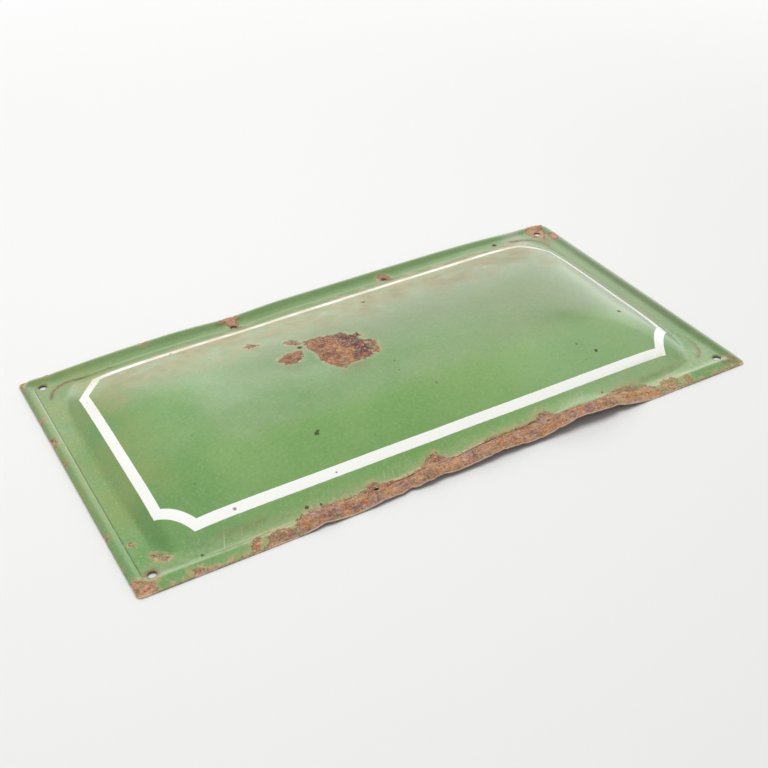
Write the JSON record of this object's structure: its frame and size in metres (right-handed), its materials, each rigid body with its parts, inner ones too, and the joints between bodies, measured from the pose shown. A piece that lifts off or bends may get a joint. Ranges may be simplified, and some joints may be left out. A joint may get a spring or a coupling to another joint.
{
  "type": "street name sign plate",
  "caption": "Enamelled sheet-steel street name sign plate: a wide rectangle pressed into a shallow dome, with a flat flange, raised rim, mounting holes and a rusted lower edge",
  "frame": {"origin": "Under the middle of the plate, on the surface that it lies on: the middle of the bounding box's bottom.", "axes": "+X runs along the reading direction, +Y to the top of the sign, +Z straight out of its domed face."},
  "size_m": [0.6, 0.33, 0.0357],
  "materials": {
    "green_enamel": "glossy vitreous enamel, weathered"
  },
  "bodies": {
    "root": {"sign_plate": "green_enamel"}
  },
  "joints": []
}
